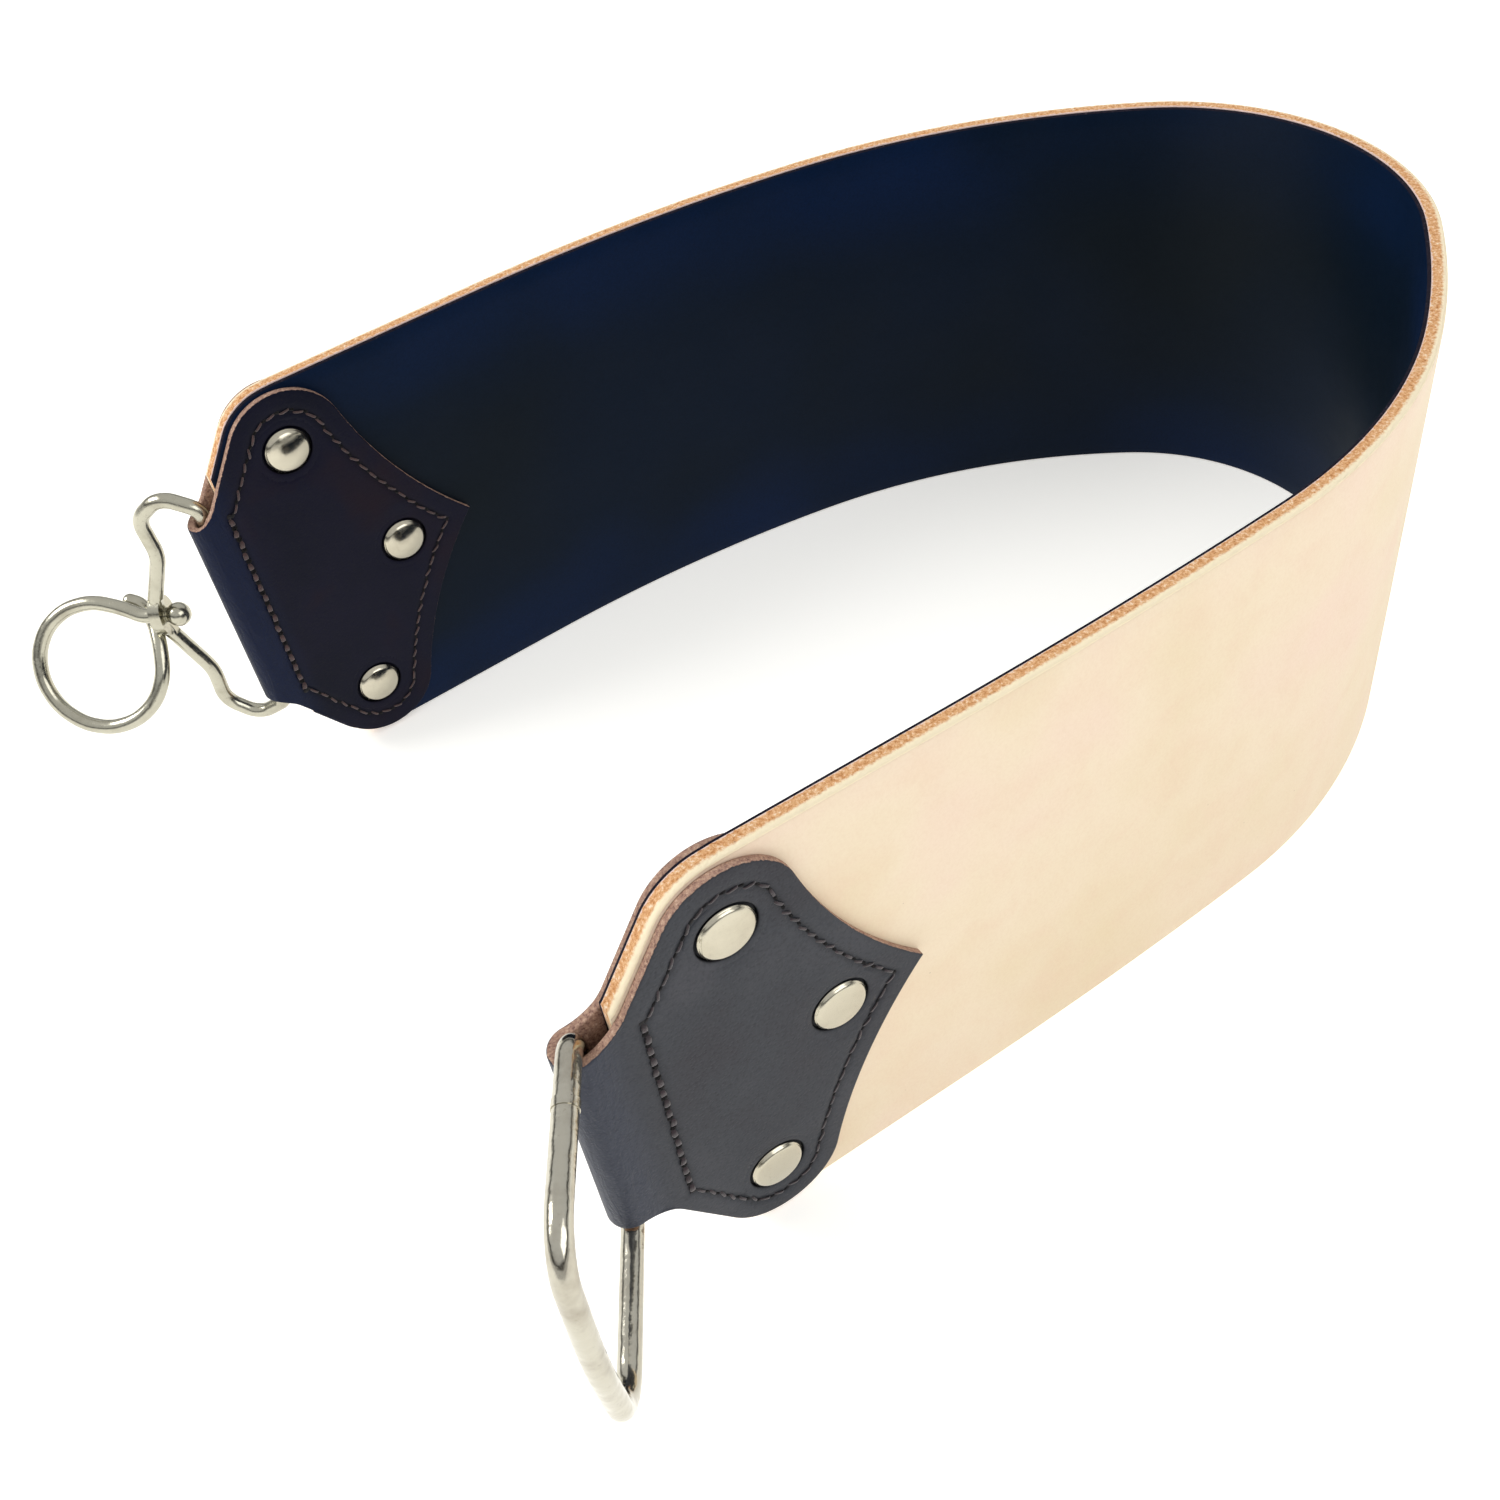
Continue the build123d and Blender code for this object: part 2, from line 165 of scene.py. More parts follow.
def shoulder_rows(reveal, first, step):
    """Shoulder, flank, neck and nose, moved out by reveal, from a normal at angle first."""
    rows = arc_rows(LOBE_CENTRE, LOBE_R + reveal, first, FLANK_DIR, step)
    normal = unit(FLANK_DIR)
    along = unit(FLANK_DIR + 90)
    start = LOBE_CENTRE + normal * (LOBE_R + reveal)
    for share in np.linspace(0, 1, math.ceil(FLANK / step) + 1)[1:-1]:
        rows.append((*(start + along * FLANK * share), *normal))
    centre = LOBE_CENTRE + normal * (LOBE_R + NECK_R) + along * FLANK
    neck = arc_rows(centre, NECK_R - reveal, FLANK_DIR, 90, step, -1)
    return rows + neck


def nose_height(rows, x):
    """Half-height of the outline at x, between the shoulder and the fold."""
    table = sorted((row[0], row[1]) for row in rows if row[0] < LOBE_CENTRE[0])
    return float(np.interp(x, [p[0] for p in table], [p[1] for p in table]))


# ---- Meshes -----------------------------------------------------------------------------------
def piece(name, points, faces, materials, replaced, values=None, face_material=None):
    """One visible piece of the strop from points in millimetres, which stands for CAD nodes."""
    mesh = bpy.data.meshes.new(name)
    mesh.from_pydata((np.asarray(points, float).reshape(-1, 3) * MM).tolist(), [], faces)
    for key, numbers in (values or {}).items():
        layer = mesh.attributes.new(key, "FLOAT", "POINT")
        layer.data.foreach_set("value", np.asarray(numbers, np.float32).ravel())
    for material in materials:
        mesh.materials.append(material)
    if face_material is not None:
        mesh.polygons.foreach_set("material_index", face_material)
    shape = bmesh.new()
    shape.from_mesh(mesh)
    bmesh.ops.recalc_face_normals(shape, faces=shape.faces)
    shape.to_mesh(mesh)
    shape.free()
    mesh.polygons.foreach_set("use_smooth", [True] * len(mesh.polygons))
    obj = bpy.data.objects.new(name, mesh)
    bpy.context.scene.collection.objects.link(obj)
    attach(obj, STROP)
    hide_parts(*replaced)
    return obj


def tube_faces(columns, ring, first=0):
    """Quads between neighbouring closed sections, and a face over each end."""
    faces = []
    for i in range(columns - 1):
        a, b = first + i * ring, first + (i + 1) * ring
        for j in range(ring):
            k = (j + 1) % ring
            faces.append((a + j, b + j, b + k, a + k))
    last = first + (columns - 1) * ring
    faces.append(tuple(range(first, first + ring)))
    faces.append(tuple(range(last + ring - 1, last - 1, -1)))
    return faces


# ---- Materials --------------------------------------------------------------------------------
MIX_A, MIX_B = 6, 7              # a mix node's sockets for colours, of those that share a name
MIX_RESULT = 2


def tone(text):
    """Linear colour of a hex tone."""
    parts = [int(text[i:i + 2], 16) / 255 for i in (0, 2, 4)]
    return (*(c / 12.92 if c < 0.04045 else ((c + 0.055) / 1.055) ** 2.4 for c in parts), 1.0)


def set_stops(ramp, stops):
    """Give a colour ramp its stops, each a place and a linear colour."""
    while len(ramp.elements) < len(stops):
        ramp.elements.new(0.5)
    for element, (where, colour) in zip(ramp.elements, stops):
        element.position = where
        element.color = colour


class Nodes:
    """A new material: constants for its shader's sockets, and short ways to add nodes."""

    def __init__(self, name, **sockets):
        self.material = bpy.data.materials.new(name)
        self.material.use_nodes = True
        self.tree = self.material.node_tree
        self.shader = self.tree.nodes["Principled BSDF"]
        for key, value in sockets.items():
            self.shader.inputs[key.replace("_", " ")].default_value = value
        self.place = self.add("ShaderNodeTexCoord").outputs["Object"]

    def add(self, kind, **settings):
        """A node of a kind, with its settings."""
        node = self.tree.nodes.new(kind)
        for key, value in settings.items():
            setattr(node, key, value)
        return node

    def feed(self, socket, value):
        """Link a socket to another, or set its constant."""
        if isinstance(value, bpy.types.NodeSocket):
            self.tree.links.new(value, socket)
        else:
            socket.default_value = value

    def value(self, name):
        """A number that the mesh holds at each point."""
        return self.add("ShaderNodeAttribute", attribute_name=name).outputs["Fac"]

    def height(self):
        """Height over the floor, in metres."""
        node = self.add("ShaderNodeSeparateXYZ")
        self.feed(node.inputs["Vector"], self.place)
        return node.outputs["Z"]

    def noise(self, size, detail=3.0, roughness=0.5, place=None, distortion=0.0):
        """Noise whose features are about size millimetres across."""
        node = self.add("ShaderNodeTexNoise")
        self.feed(node.inputs["Vector"], place or self.place)
        node.inputs["Scale"].default_value = 1 / (size * MM)
        node.inputs["Detail"].default_value = detail
        node.inputs["Roughness"].default_value = roughness
        node.inputs["Distortion"].default_value = distortion
        return node.outputs["Fac"]

    def cells(self, size):
        """Distance to the middle of cells about size millimetres across."""
        node = self.add("ShaderNodeTexVoronoi")
        self.feed(node.inputs["Vector"], self.place)
        node.inputs["Scale"].default_value = 1 / (size * MM)
        return node.outputs["Distance"]

    def span(self, value, low, high, to_low=0.0, to_high=1.0):
        """Map a range of values smoothly on to another, clamped."""
        node = self.add("ShaderNodeMapRange", interpolation_type="SMOOTHSTEP")
        for key, number in zip(("Value", "From Min", "From Max", "To Min", "To Max"),
                               (value, low, high, to_low, to_high)):
            self.feed(node.inputs[key], number)
        return node.outputs["Result"]

    def maths(self, operation, a, b=0.0):
        """A maths operation on one or two values."""
        node = self.add("ShaderNodeMath", operation=operation)
        self.feed(node.inputs[0], a)
        self.feed(node.inputs[1], b)
        return node.outputs["Value"]

    def blend(self, share, a, b):
        """Colour a, with a share of colour b over it."""
        node = self.add("ShaderNodeMix", data_type="RGBA")
        self.feed(node.inputs["Factor"], share)
        self.feed(node.inputs[MIX_A], a)
        self.feed(node.inputs[MIX_B], b)
        return node.outputs[MIX_RESULT]

    def ramp(self, value, *stops):
        """Colour ramp over hex tones, each stop a place and its tone."""
        node = self.add("ShaderNodeValToRGB")
        self.feed(node.inputs["Fac"], value)
        set_stops(node.color_ramp, [(where, tone(text)) for where, text in stops])
        return node.outputs["Color"]

    def stretch(self, factors):
        """Coordinates scaled by factors, so that features lie along an axis."""
        node = self.add("ShaderNodeMapping", vector_type="POINT")
        self.feed(node.inputs["Vector"], self.place)
        node.inputs["Scale"].default_value = factors
        return node.outputs["Vector"]

    def bump(self, height, depth, below=None):
        """Bump of a height from 0 to 1 over a depth in millimetres."""
        node = self.add("ShaderNodeBump")
        node.inputs["Strength"].default_value = 1.0
        node.inputs["Distance"].default_value = depth * MM
        self.feed(node.inputs["Height"], height)
        if below is not None:
            self.feed(node.inputs["Normal"], below)
        return node.outputs["Normal"]

    def finish(self, **links):
        """Feed the shader's sockets, and give back the material."""
        for key, value in links.items():
            self.feed(self.shader.inputs[key.replace("_", " ")], value)
        return self.material


def pale_leather():
    """Vegetable-tanned leather: a smooth pale face, and a fibrous orange cut edge."""
    n = Nodes("natural_leather", Specular_IOR_Level=0.35)
    cut, depth = n.value("cut"), n.value("depth")
    blotch = n.noise(34.0, 3.0, 0.55)
    mottle = n.noise(9.0, 4.0, 0.6, distortion=0.4)
    grain = n.noise(0.45, 4.0, 0.65)
    face = n.ramp(blotch, (0.30, "e6cfbb"), (0.50, "e5d4ba"), (0.72, "e0ceae"))
    face = n.blend(n.span(mottle, 0.42, 0.75, 0.0, 0.35), face, tone("e0c4aa"))
    face = n.blend(n.span(grain, 0.35, 0.75, 0.0, 0.10), face, tone("c49c78"))
    speck = n.span(n.cells(5.5), 0.030, 0.012)
    face = n.blend(n.maths("MULTIPLY", speck, 0.45), face, tone("8a6a52"))
    fibre = n.noise(0.62, 5.0, 0.8)
    core = n.ramp(fibre, (0.30, "985829"), (0.42, "cf9058"), (0.54, "e9b885"), (0.66, "fff0da"))
    rough_depth = n.maths("ADD", depth, n.span(n.noise(0.6, 3.0), 0.2, 0.8, -0.07, 0.07))
    edge = n.blend(n.span(rough_depth, 0.03, 0.08), tone("ecd0c6"), core)
    edge = n.blend(n.span(rough_depth, 0.56, 0.78), edge, tone("fff0cf"))
    colour = n.blend(n.span(cut, 0.25, 0.75), face, edge)
    relief = n.bump(n.noise(0.32, 3.0, 0.6), 0.012)
    relief = n.bump(n.noise(3.2, 3.0, 0.5), 0.05, relief)
    relief = n.bump(n.maths("MULTIPLY", fibre, cut), 0.35, relief)
    dull = n.maths("ADD", n.span(grain, 0.2, 0.8, 0.50, 0.62), n.maths("MULTIPLY", cut, 0.25))
    return n.finish(Base_Color=colour, Roughness=dull, Normal=relief)


def dark_facing():
    """Polished dark facing: slate in its middle, and bluer towards its long edges."""
    n = Nodes("facing_leather", Specular_IOR_Level=0.07)
    cut = n.value("cut")
    off_middle = n.maths("ABSOLUTE", n.maths("SUBTRACT", n.height(), MID_Z * MM))
    bluer = n.span(off_middle, 0.012, 0.034, 0.0, 0.22)
    cloud = n.maths("ADD", n.span(n.noise(60.0, 2.0, 0.5), 0.3, 0.7, 0.28, 0.50), bluer)
    colour = n.ramp(cloud, (0.30, "0a141c"), (0.50, "091728"), (0.70, "091d3c"))
    colour = n.blend(n.span(n.noise(0.4, 3.0), 0.3, 0.8, 0.0, 0.25), colour, tone("060a12"))
    edge = n.ramp(n.noise(0.5, 4.0, 0.7), (0.35, "12121c"), (0.60, "211d28"), (0.75, "47414a"))
    colour = n.blend(n.span(cut, 0.3, 0.8), colour, edge)
    relief = n.bump(n.noise(0.28, 3.0, 0.6), 0.008)
    relief = n.bump(n.noise(5.0, 2.0, 0.5), 0.05, relief)
    dull = n.span(n.noise(14.0, 3.0), 0.25, 0.75, 0.34, 0.46)
    dull = n.maths("ADD", dull, n.maths("MULTIPLY", cut, 0.35))
    return n.finish(Base_Color=colour, Roughness=dull, Normal=relief)


def cap_leather():
    """Dyed cap leather: slate on the pale side, nearly black inside, with a brown cut edge."""
    n = Nodes("cap_leather", Specular_IOR_Level=0.08)
    cut, side, fold, groove_shade = n.value("cut"), n.value("side"), n.value("fold"), n.value("groove_shade")
    pores = n.cells(0.55)
    grain = n.noise(0.5, 4.0, 0.65)
    cloud = n.noise(16.0, 3.0, 0.55)
    slate = n.ramp(cloud, (0.30, "38383d"), (0.55, "3d3f44"), (0.75, "45464b"))
    slate = n.blend(n.span(fold, 0.1, 0.9, 0.0, 0.8), slate, tone("3a3e4a"))
    dusk = n.ramp(cloud, (0.30, "0d0f1e"), (0.55, "131324"), (0.75, "1d141f"))
    dusk = n.blend(n.span(fold, 0.1, 0.9, 0.0, 0.9), dusk, tone("141d36"))
    skin = n.blend(n.span(side, 0.3, 0.7), slate, dusk)
    skin = n.blend(n.span(grain, 0.40, 0.75, 0.0, 0.35), skin, tone("1b1c20"))
    # painted shade: the skin goes near-black in the stitch grooves and in the gap round each rivet head
    skin = n.blend(n.span(groove_shade, 0.0, 2.0, 0.0, 0.95), skin, tone("060508"))
    fleck = n.noise(0.45, 4.0, 0.75)
    edge = n.ramp(fleck, (0.30, "4e3832"), (0.41, "8f7064"), (0.58, "b3937f"), (0.72, "d6bda9"))
    ragged = n.maths("ADD", cut, n.span(n.noise(0.5, 3.0), 0.2, 0.8, -0.25, 0.25))
    colour = n.blend(n.span(ragged, 0.40, 0.62), skin, edge)
    crease = n.noise(1.3, 4.0, 0.6, n.stretch((1.0, 1.0, 0.22)), 0.6)
    relief = n.bump(n.span(pores, 0.0, 0.55), 0.022)
    relief = n.bump(grain, 0.02, relief)
    relief = n.bump(n.maths("MULTIPLY", crease, n.span(fold, 0.15, 0.8)), 0.35, relief)
    relief = n.bump(n.maths("MULTIPLY", fleck, cut), 0.2, relief)
    dull = n.maths("ADD", n.span(cloud, 0.25, 0.75, 0.40, 0.50), n.maths("MULTIPLY", cut, 0.3))
    dull = n.maths("SUBTRACT", dull, n.maths("MULTIPLY", n.span(fold, 0.2, 0.9), 0.08))
    return n.finish(Base_Color=colour, Roughness=dull, Normal=relief)


def thread_material(name, dark, light):
    """Waxed thread."""
    n = Nodes(name, Sheen_Weight=0.25, Sheen_Roughness=0.5)
    strand = n.noise(0.35, 4.0, 0.7)
    colour = n.ramp(strand, (0.32, dark), (0.68, light))
    relief = n.bump(n.noise(0.18, 3.0, 0.6), 0.05)
    return n.finish(Base_Color=colour, Roughness=n.span(strand, 0.3, 0.7, 0.55, 0.8), Normal=relief)


def hole_shade_material():
    """Painted shade: the near-black mouth of a stitch hole."""
    n = Nodes("awl_hole_shade", Roughness=0.9)
    return n.finish(Base_Color=n.ramp(n.noise(0.3, 3.0), (0.35, "070609"), (0.7, "181418")))


def nickel(name, body_tone, tarnish, dull_low, dull_high, scratch):
    """Nickel plate: bright, faintly warm, with soft tarnish and fine scratches."""
    n = Nodes(name, Metallic=1.0)
    cloud = n.noise(6.0, 4.0, 0.6)
    fine = n.noise(0.8, 4.0, 0.7)
    colour = n.blend(n.span(cloud, 0.45, 0.8, 0.0, 0.5), tone(body_tone), tone(tarnish))
    colour = n.blend(n.span(fine, 0.58, 0.75, 0.0, 0.3), colour, tone(tarnish))
    marks = n.noise(0.5, 3.0, 0.6, n.stretch((1.0, 1.0, 0.12)))
    relief = n.bump(marks, 0.004 * scratch)
    relief = n.bump(n.noise(2.2, 2.0), 0.04 * scratch, relief)
    relief = n.bump(n.noise(6.5, 2.0), 0.12 * scratch, relief)
    dull = n.span(fine, 0.3, 0.7, dull_low, dull_high)
    return n.finish(Base_Color=colour, Roughness=dull, Normal=relief)


PALE = pale_leather()
FACING = dark_facing()
CAP = cap_leather()
THREADS = {
    "hand": thread_material("dark_thread", "0e080c", "35232a"),
    "hook": thread_material("russet_thread", "1c0d0e", "4e302e"),
}
HOLE_SHADE = hole_shade_material()
RIVET = nickel("rivet_nickel", "bfb9a7", "9c937e", 0.14, 0.24, 0.4)
RING = nickel("ring_nickel", "bab6a8", "7d7062", 0.10, 0.20, 2.6)
HOOK = nickel("hook_nickel", "b4b1a1", "7c7463", 0.16, 0.28, 1.6)

# ---- Strop layers -----------------------------------------------------------------------------
BAND_STEP = 1.5                  # between sections along the strop
SHOULDER_STEP = 0.5              # between sections round a shoulder
NEAREST = 0.05                   # no section lies nearer to the cut end than this
FACE_ROWS = 26                   # points across a layer's face, and across its side at the seam
SEAM_ROWS = 8

# Upper edge of each layer's section, (inset, offset from the middle line) from its face to the seam.
LEATHER_RIM = [
    (0.62, 1.5), (0.30, 1.42), (0.10, 1.20), (0.02, 0.95), (0.0, 0.7),
    (0.0, 0.3), (0.0, -0.2), (0.0, -0.6), (0.0, -0.85), (0.05, -0.9),
]
FACING_RIM = [(0.25, -1.5), (0.10, -1.46), (0.02, -1.36), (0.0, -1.2), (0.0, -0.95), (0.02, -0.9)]


def band_columns(margin):
    """Rows (s, half-height, ns, ny) of the strop's upper outline, from its hand end to its hook end."""
    shoulder = shoulder_rows(EDGE_REVEAL, 90.0, SHOULDER_STEP)
    ends = {}
    for end in ENDS:
        limit = STROP_END[end] + CAP_START[end]
        rows = [row for row in shoulder if row[0] > limit + NEAREST]
        rows.append((limit, nose_height(shoulder, limit), 0.0, 1.0))
        ends[end] = [(x - CAP_START[end], y - margin, nx, ny) for x, y, nx, ny in rows]
    first = ends["hand"][0][0]
    last = LENGTH - ends["hook"][0][0]
    between = np.linspace(first, last, int((last - first) / BAND_STEP))[1:-1]
    middle = [(s, MID_Z - margin, 0.0, 1.0) for s in between]
    far = [(LENGTH - x, y, -nx, ny) for x, y, nx, ny in ends["hook"]]
    return ends["hand"][::-1] + middle + far


def band(name, node, material, face, margin, rim):
    """One layer of the strop as a loft of closed sections.  Its depth is 0 at the seam, 1 at its face."""
    columns = band_columns(margin)
    points, cut, depth = [], [], []
    for s, half, ns, ny in columns:
        top = [(s - ns * inset, half - ny * inset, out) for inset, out in rim]
        face_s, face_top, face_out = top[0]
        seam_s, seam_top, seam_out = top[-1]
        ring = [(face_s, y, face_out, 0.0) for y in np.linspace(-face_top, face_top, FACE_ROWS)]
        ring += [(*row, 1.0) for row in top[1:]]
        ring += [(seam_s, y, seam_out, 0.0) for y in np.linspace(seam_top, -seam_top, SEAM_ROWS)[1:-1]]
        ring += [(edge_s, -y, out, 1.0) for edge_s, y, out in top[:0:-1]]
        for where, y, out, edge in ring:
            points.append(on_strop(where, out, MID_Z + y))
            cut.append(edge)
            depth.append((out - SEAM) / (face - SEAM))
    faces = tube_faces(len(columns), len(points) // len(columns))
    return piece(name, points, faces, [material], [node], {"cut": cut, "depth": depth})


band("strop_natural_layer", "strop_leather", PALE, OUTER, 0.0, LEATHER_RIM)
band("strop_facing_layer", "strop_facing", FACING, INNER, FACING_MARGIN, FACING_RIM)

# ---- Seam lines on the caps -------------------------------------------------------------------
SEAM_STEP = 0.2                  # between the points of the dense seam line
LOOK_AHEAD = 0.3                 # a stitch points at the seam this far ahead of its middle


def seam_points():
    """Dense points of the upper half of the seam, from the cap's point to the straight row."""
    rows = ogee_rows(SEAM_INSET, SEAM_STEP)
    rows += arc_rows(LOBE_CENTRE, LOBE_R - SEAM_INSET, OGEE_END_DIR - 90, FLANK_DIR, SEAM_STEP)
    start = np.array(rows[-1][:2])
    fall = unit(FLANK_DIR + 90)
    reach = (start[0] - ROW_X - ROW_STITCH_W / 2) / -fall[0]
    along = np.linspace(0, reach, math.ceil(reach / SEAM_STEP) + 1)[1:]
    return np.array([row[:2] for row in rows] + [start + fall * d for d in along])


SEAM_LINE = seam_points()
SEAM_LENGTHS = np.concatenate([[0], np.cumsum(np.hypot(*np.diff(SEAM_LINE, axis=0).T))])
ROW_HALF = SEAM_LINE[-1][1]      # half-height of the straight row


def on_seam(d):
    """Point at a length along the seam line."""
    return np.array([np.interp(d, SEAM_LENGTHS, SEAM_LINE[:, k]) for k in (0, 1)])


def seam_stitches():
    """Middle and direction, in radians, of each stitch of the seam."""
    count = math.ceil(SEAM_LENGTHS[-1] / STITCH_PITCH)
    places = []
    for i in range(count):
        d = (i + 0.5) / count * SEAM_LENGTHS[-1]
        spot = on_seam(d)
        turn = math.atan2(*(on_seam(d + LOOK_AHEAD) - spot)[::-1])
        places.append((spot, turn))
        places.append((spot * (1, -1), -turn))
    return places


def row_stitches():
    """Middle and direction, in radians, of each stitch of the straight row."""
    count = math.ceil(2 * ROW_HALF / STITCH_PITCH)
    pitch = 2 * ROW_HALF / count
    return [(np.array([ROW_X, (i + 0.5) * pitch - ROW_HALF]), math.pi / 2) for i in range(count)]


# ---- End caps ---------------------------------------------------------------------------------
CAP_ROWS = 118                   # points across a cap's skin
CAP_STEP = 0.55                  # between sections
FOLD_SECTIONS = 25
FOLD_SHADE = 7.0                 # the fold's own look fades out over this length
FOLD_GAP = 0.25                  # no section of a panel lies nearer to its loop's axis than this
SKIN_TIP = 0.02                  # least half-heights, at a cap's point, of the skin and of the cut edge
EDGE_TIP = 0.01
CAP_RIM = [                      # inset, depth in the leather, and how much each shows the cut edge
    (0.28, 0.0, 0.0), (0.12, 0.03, 0.12), (0.03, 0.12, 0.45), (0.0, 0.28, 0.9),
    (0.0, 0.66, 1.0), (0.0, 1.02, 1.0), (0.05, 1.26, 1.0), (0.2, 1.35, 1.0),
]
LINING_ROWS = 7                  # points across a cap's lining
DISH_DEPTH = 0.16                # a shallow dip round each rivet
DISH_REACH = (0.4, 4.0)          # it fades out between these distances from the head
WELL_DEPTH = 0.90                # a hole under each rivet and its lip, with its own distances
WELL_REACH = (0.3, 1.2)
CHANNEL_DEPTH = 0.16             # the thread's channels, and their widths
SEAM_CHANNEL_W = 0.75
ROW_CHANNEL_W = 0.95
CREASE_X = 4.0                   # a soft crease beside the fold, this far from the loop's axis
CREASE_DEPTH = 0.22
CREASE_W = 1.2
PRESSED_FADE = (0.5, 0.99)       # what is pressed in fades out between these shares of the fold
LIP_TURNS = 72
LIP = [                          # distance from the rivet head, height over the skin, and painted shade in the gap down to the head
    (1.95, -0.06, 0.0), (1.55, -0.008, 0.0), (1.30, 0.006, 0.0), (1.0, 0.012, 0.0),
    (0.70, -0.005, 0.08), (0.46, -0.06, 0.35), (0.32, -0.18, 1.2), (0.26, -0.40, 2.0),
    (0.24, -0.95, 2.0), (1.95, -0.95, 0.0),
]


def smooth(low, high, value):
    """Smooth step from 0 at low to 1 at high."""
    t = np.clip((value - low) / (high - low), 0, 1)
    return t * t * (3 - 2 * t)


def dish(r):
    """Shallow dip in the leather round a rivet."""
    near, far = DISH_REACH
    return DISH_DEPTH * (1 - smooth(HEAD_R + near, HEAD_R + far, r))


def well(r):
    """Clears the skin from under a rivet and its lip."""
    near, far = WELL_REACH
    return WELL_DEPTH * (1 - smooth(HEAD_R + near, HEAD_R + far, r))


def lip(end, way, spot):
    """Rolled lip of leather round one rivet head: points, and how much painted shade each gets, darkest in
    the gap down to the head.
    """
    beyond, height, shade = np.array(LIP).T
    around = np.radians(np.linspace(0, 360, LIP_TURNS, endpoint=False))[:, None]
    r = (HEAD_R if way > 0 else CAP_R) + beyond[None]
    x = spot[0] - CAP_START[end] + r * np.cos(around)
    y = spot[1] + r * np.sin(around)
    place = at_end(end, x, y, way * (CAP_OUT + height[None] - dish(r)))
    return place.reshape(-1, 3), np.tile(shade, LIP_TURNS)


def lip_faces(first):
    """Quads of one closed lip whose points start at first."""
    count = len(LIP)
    faces = []
    for k in range(LIP_TURNS):
        a, b = first + k * count, first + (k + 1) % LIP_TURNS * count
        faces += [(a + i, b + i, b + (i + 1) % count, a + (i + 1) % count) for i in range(count)]
    return faces


def sunk(x, y):
    """How deep the cap's skin is pressed in, and how near it is to a stitch line, at panel points; that
    nearness also sets the painted shade in the stitch grooves.
    """
    moat = np.zeros_like(x)
    for rx, ry in RIVETS:
        r = np.hypot(x - rx, y - ry)
        moat = np.maximum(moat, dish(r) + well(r))
    near = np.full_like(x, np.inf)
    for sx, sy in SEAM_LINE[::2]:
        near = np.minimum(near, np.hypot(x - sx, np.abs(y) - sy))
    seam = np.exp(-(near / SEAM_CHANNEL_W) ** 2)
    beyond_row = smooth(ROW_HALF, ROW_HALF + 1.0, np.abs(y))
    row = np.exp(-((x - ROW_X) / ROW_CHANNEL_W) ** 2) * (1 - beyond_row)
    groove_shade = np.maximum(seam, row)
    return moat + CHANNEL_DEPTH * groove_shade, groove_shade


def cap_columns(end):
    """Sections along a cap from the outer panel's point, round the fold, to the inner panel's point.

    Each is (skin x, skin out, lining x, lining out, half-height, nx, ny, fold share, side)."""
    start = CAP_START[end]
    outline = ogee_rows(0.0, CAP_STEP) + shoulder_rows(0.0, OGEE_END_DIR - 90, CAP_STEP)[1:]
    nose = outline[-1]
    for x in np.arange(nose[0] - CAP_STEP, start, -CAP_STEP):
        outline.append((x, nose[1], 0.0, 1.0))
    inside = LOOP_R[end]
    outside = inside + CAP_T
    panel = []
    for x, y, nx, ny in outline:
        ahead = x - start
        if ahead <= FOLD_GAP:
            continue
        share = min(1.0, ahead / STROP_END[end])
        skin = outside + (CAP_OUT - outside) * share
        lining = inside + (OUTER - inside) * share
        panel.append((ahead, skin, ahead, lining, y, nx, ny, max(0.0, 1 - ahead / FOLD_SHADE)))
    fold = []
    for angle in np.linspace(90, 270, FOLD_SECTIONS):
        c, s = unit(angle)
        half = nose_height(outline, start + outside * c)
        side = (angle - 90) / 180
        fold.append((outside * c, outside * s, inside * c, inside * s, half, 0.0, 1.0, 1.0, side))
    front = [(*row, 0.0) for row in panel]
    back = [(row[0], -row[1], row[2], -row[3], *row[4:], 1.0) for row in panel[::-1]]
    return front + fold + back


